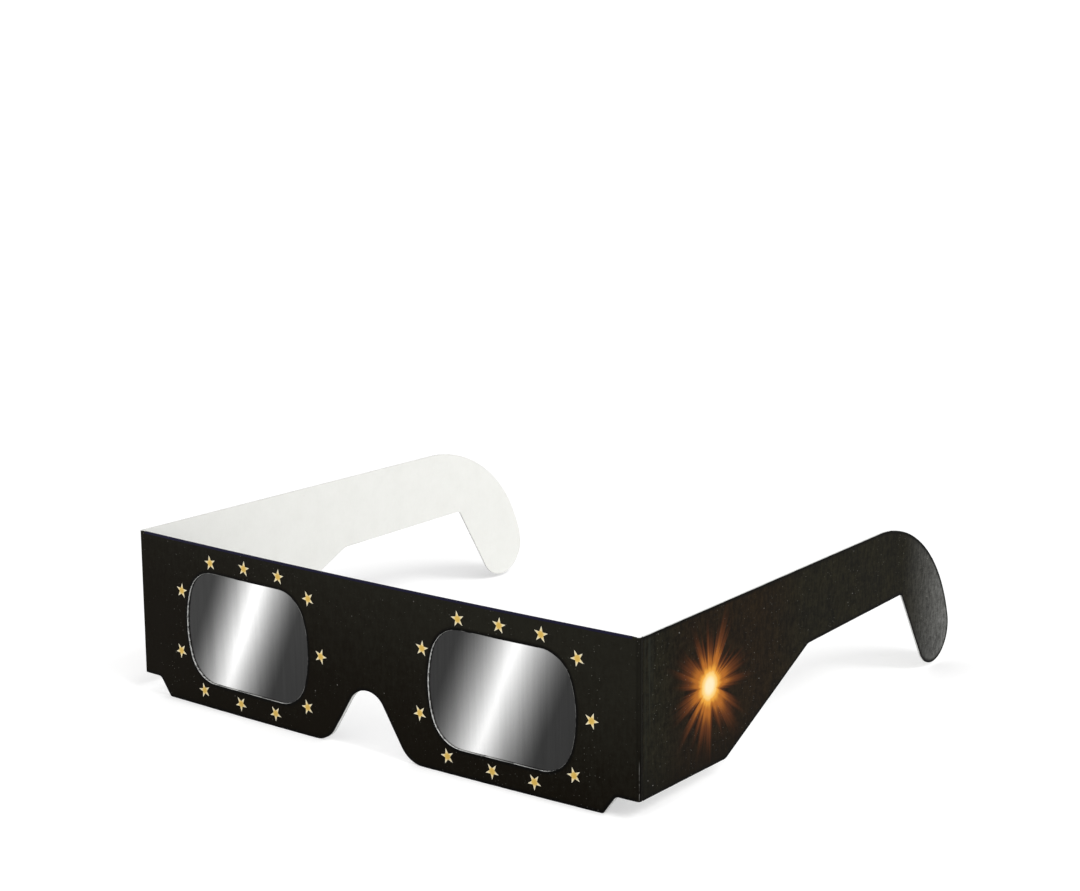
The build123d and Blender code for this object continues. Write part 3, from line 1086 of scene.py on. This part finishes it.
FLOOR_HALF = 9.0
FLOOR_GREY = (0.80, 0.80, 0.80, 1)
FLOOR_LIGHT = 0.275
# Patches of floor that shine a little more, where the cut-out photograph shows no shadow: along X
# and along Y, the place in millimetres where a patch has faded out and where it is full, and how much
FLOOR_PATCHES = {
    "beside_right_end": ((-68.0, -86.0), (-10.0, -50.0), 0.20),
    "before_front": ((76.0, 67.0), (-68.0, -71.5), 0.17),
    "beside_left_hook": ((72.0, 84.0), (30.0, 55.0), 0.08),
    "beside_left_temple": ((70.5, 75.5), (5.0, -15.0), 0.12),
}
WORLD_LIGHT = 0.74
WHITE = (1, 1, 1, 1)

# The camera, as fitted to the photograph
CAMERA_PLACE = (0.362218, -0.458334, 0.184226)
CAMERA_AZIMUTH_DEG, CAMERA_ELEVATION_DEG, CAMERA_ROLL_DEG = 38.8457, 12.2818, -0.4706
CAMERA_LENS, CAMERA_SENSOR = 84.158, 36.0
CAMERA_NEAR, CAMERA_FAR = 0.01, 40.0


def floor_finish():
    """Plain white floor that keeps the object's shadow."""
    paint = bpy.data.materials.new("floor_white")
    paint.use_nodes = True
    tree = paint.node_tree
    tree.nodes.clear()
    place = tree.nodes.new("ShaderNodeTexCoord").outputs["Object"]
    x, y = coordinate(tree, place, "X"), coordinate(tree, place, "Y")
    shine = FLOOR_LIGHT
    for (x_out, x_full), (y_out, y_full), amount in FLOOR_PATCHES.values():
        along_x = step_up(tree, x, x_out * MM, x_full * MM)
        along_y = step_up(tree, y, y_out * MM, y_full * MM)
        shine = maths(tree, "MULTIPLY_ADD", maths(tree, "MULTIPLY", along_x, along_y), amount, shine)
    strength = maths(tree, "MULTIPLY", seen_directly(tree), shine)
    matte = add_node(tree, "ShaderNodeBsdfDiffuse", None, {"Color": FLOOR_GREY})
    lit = add_node(tree, "ShaderNodeEmission", None, {"Color": WHITE, "Strength": strength})
    both = tree.nodes.new("ShaderNodeAddShader")
    tree.links.new(matte.outputs[0], both.inputs[0])
    tree.links.new(lit.outputs[0], both.inputs[1])
    out = tree.nodes.new("ShaderNodeOutputMaterial")
    tree.links.new(both.outputs[0], out.inputs["Surface"])
    return paint


def make_floor():
    """A wide flat floor under the pair, as stage."""
    data = bpy.data.meshes.new("floor")
    half = FLOOR_HALF
    corners = [(-half, -half, 0), (half, -half, 0), (half, half, 0), (-half, half, 0)]
    data.from_pydata(corners, [], [(0, 1, 2, 3)])
    data.materials.append(floor_finish())
    made = bpy.data.objects.new("floor", data)
    bpy.context.scene.collection.objects.link(made)


def make_world():
    """Even soft light, and plain white where the background is seen."""
    world = bpy.data.worlds.new("studio")
    world.use_nodes = True
    bpy.context.scene.world = world
    tree = world.node_tree
    tree.nodes.clear()
    soft = add_node(tree, "ShaderNodeBackground", None, {"Color": WHITE, "Strength": WORLD_LIGHT})
    white = add_node(tree, "ShaderNodeBackground", None, {"Color": WHITE, "Strength": 1.0})
    pick = tree.nodes.new("ShaderNodeMixShader")
    tree.links.new(seen_directly(tree), pick.inputs[0])
    tree.links.new(soft.outputs[0], pick.inputs[1])
    tree.links.new(white.outputs[0], pick.inputs[2])
    out = tree.nodes.new("ShaderNodeOutputWorld")
    tree.links.new(pick.outputs[0], out.inputs["Surface"])


def add_sun(name, towards, strength, spread_deg):
    """An even soft lamp that shines from the direction "towards"."""
    data = bpy.data.lights.new(name, "SUN")
    data.energy = strength
    data.angle = math.radians(spread_deg)
    made = bpy.data.objects.new(name, data)
    made.rotation_euler = (-Vector(towards)).to_track_quat("-Z", "Y").to_euler()
    bpy.context.scene.collection.objects.link(made)


def make_camera():
    """The photograph's viewing angle: from the wearer's left and a little above."""
    azimuth, elevation = math.radians(CAMERA_AZIMUTH_DEG), math.radians(CAMERA_ELEVATION_DEG)
    level = math.cos(elevation)
    back = Vector((math.sin(azimuth) * level, -math.cos(azimuth) * level, math.sin(elevation)))
    level_right = Z_AXIS.cross(back).normalized()
    level_up = back.cross(level_right)
    roll = math.radians(CAMERA_ROLL_DEG)
    right = level_right * math.cos(roll) + level_up * math.sin(roll)
    up = level_up * math.cos(roll) - level_right * math.sin(roll)
    data = bpy.data.cameras.new("camera")
    data.sensor_width = CAMERA_SENSOR
    data.lens = CAMERA_LENS
    data.clip_start, data.clip_end = CAMERA_NEAR, CAMERA_FAR
    made = bpy.data.objects.new("camera", data)
    turned = Matrix((right, up, back)).transposed().to_4x4()
    made.matrix_world = Matrix.Translation(CAMERA_PLACE) @ turned
    bpy.context.scene.collection.objects.link(made)
    bpy.context.scene.camera = made


WHITE_INSIDE = make_bare_board("bare_board_inside")
CUT_BLACK = make_cut_edge("cut_edge_black_print", BLACK_INK)
CUT_NAVY = make_cut_edge("cut_edge_navy_print", NAVY_INK)
NAVY_PRINT = make_navy_print("navy_print")

front_pieces()
for side in SIDES:
    temple_piece(side)
for side in SIDES:
    crease_piece(side)
fold_piece()
dress_adhesive()
for side in SIDES:
    film_piece(side)
star_piece()

make_floor()
make_world()
add_sun("high_key", towards=(0.88, -0.02, 1.0), strength=0.98, spread_deg=20.0)
add_sun("side_fill", towards=(0.95, -0.30, 0.30), strength=0.55, spread_deg=60.0)
make_camera()
bpy.context.scene.view_settings.view_transform = "Standard"
